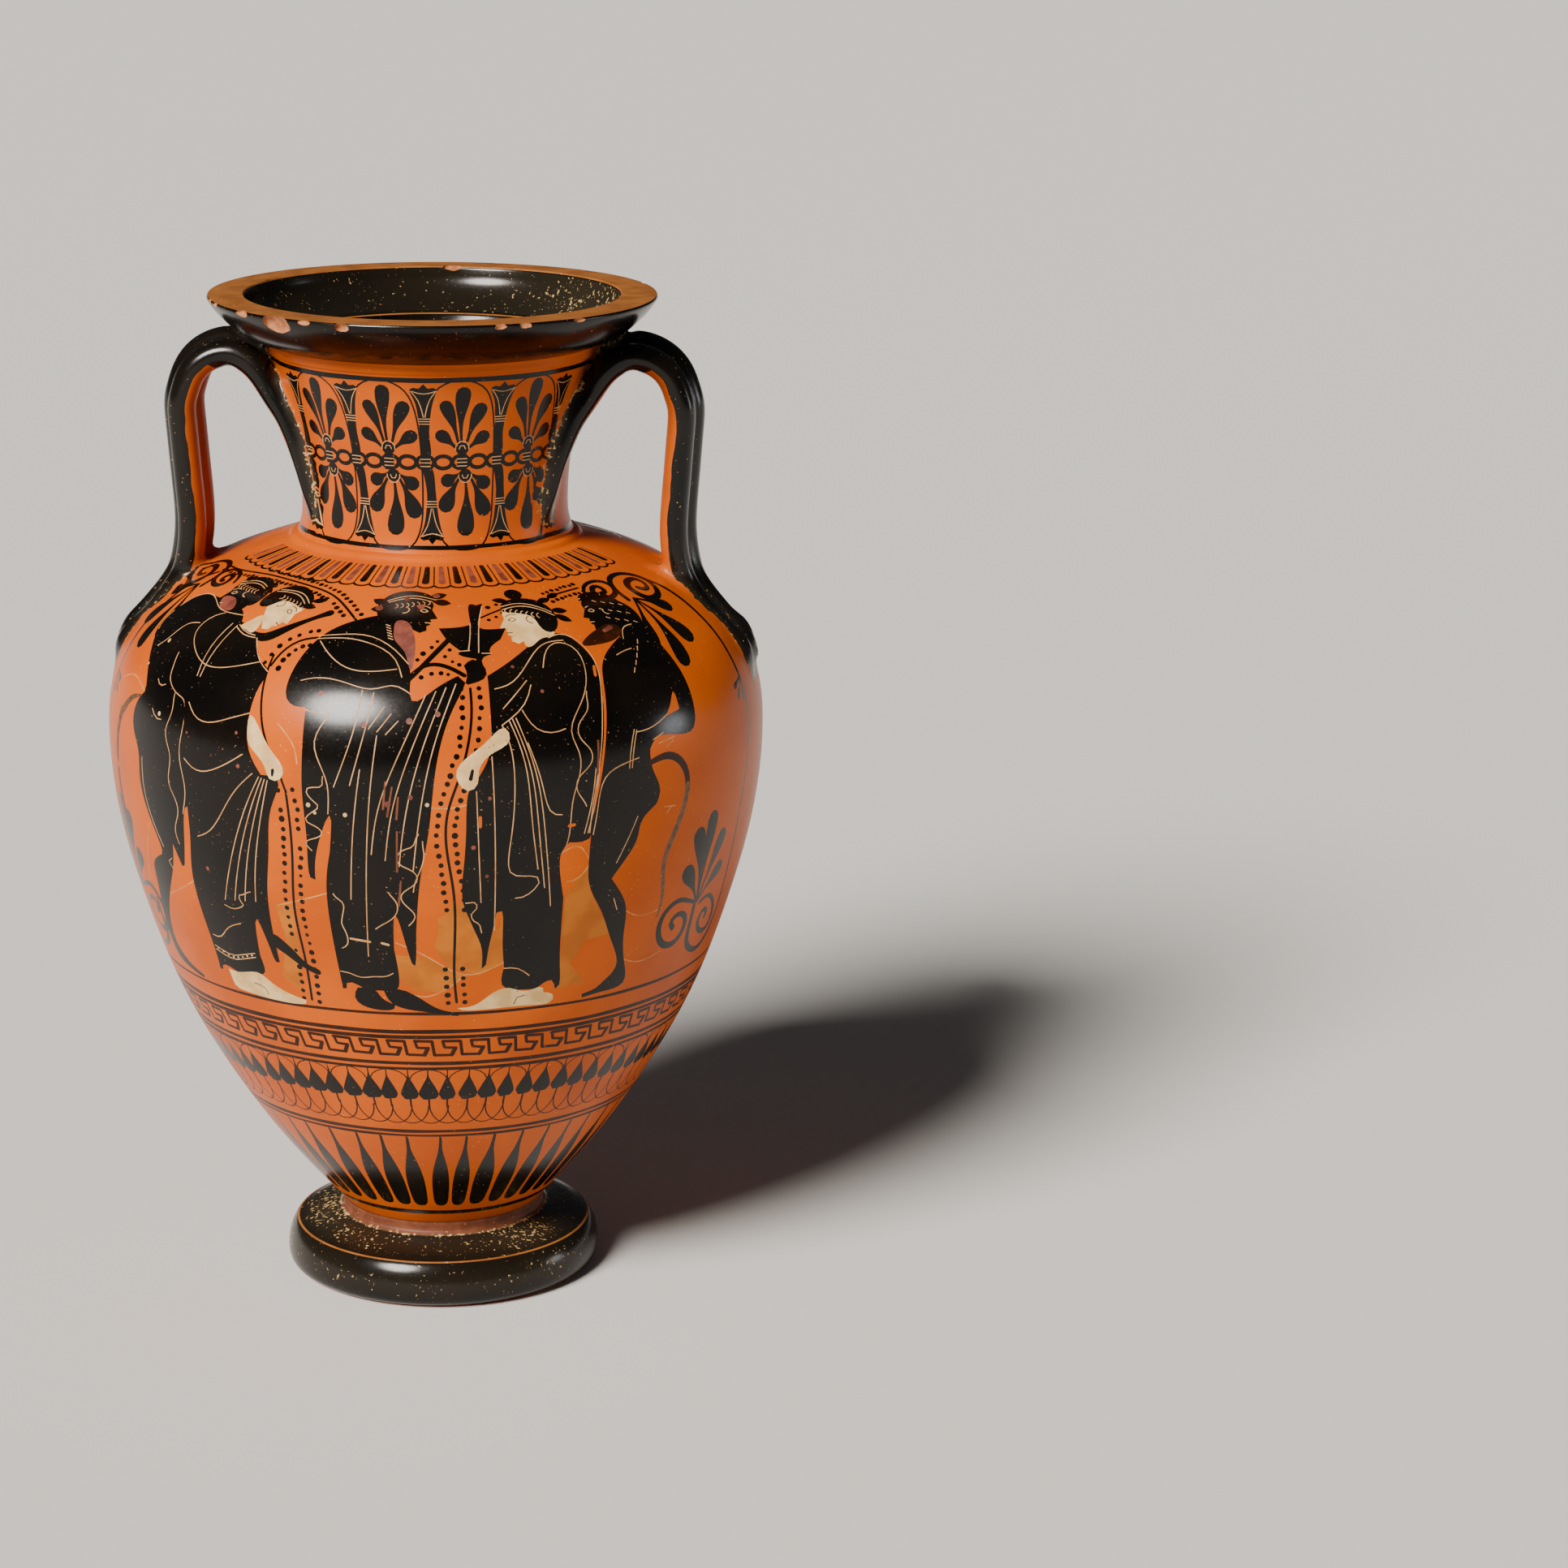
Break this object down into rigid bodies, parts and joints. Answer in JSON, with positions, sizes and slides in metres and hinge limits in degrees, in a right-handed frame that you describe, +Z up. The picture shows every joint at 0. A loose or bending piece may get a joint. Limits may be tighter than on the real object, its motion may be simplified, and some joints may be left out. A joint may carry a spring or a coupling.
{
  "type": "neck amphora",
  "caption": "Painted fired-clay neck amphora: hollow egg-shaped body on a disc foot, concave neck, flaring lip and upright triple-roll handles.",
  "frame": {"origin": "centre of the resting surface, on the vessel's turning axis", "axes": "+Z up along the turning axis, the handles on the X axis, the main picture side faces -Y"},
  "size_m": [0.2734, 0.2734, 0.42],
  "materials": {
    "slipped_clay": "burnished orange clay painted with a satin black slip"
  },
  "bodies": {
    "root": {"amphora": "slipped_clay"}
  },
  "joints": []
}
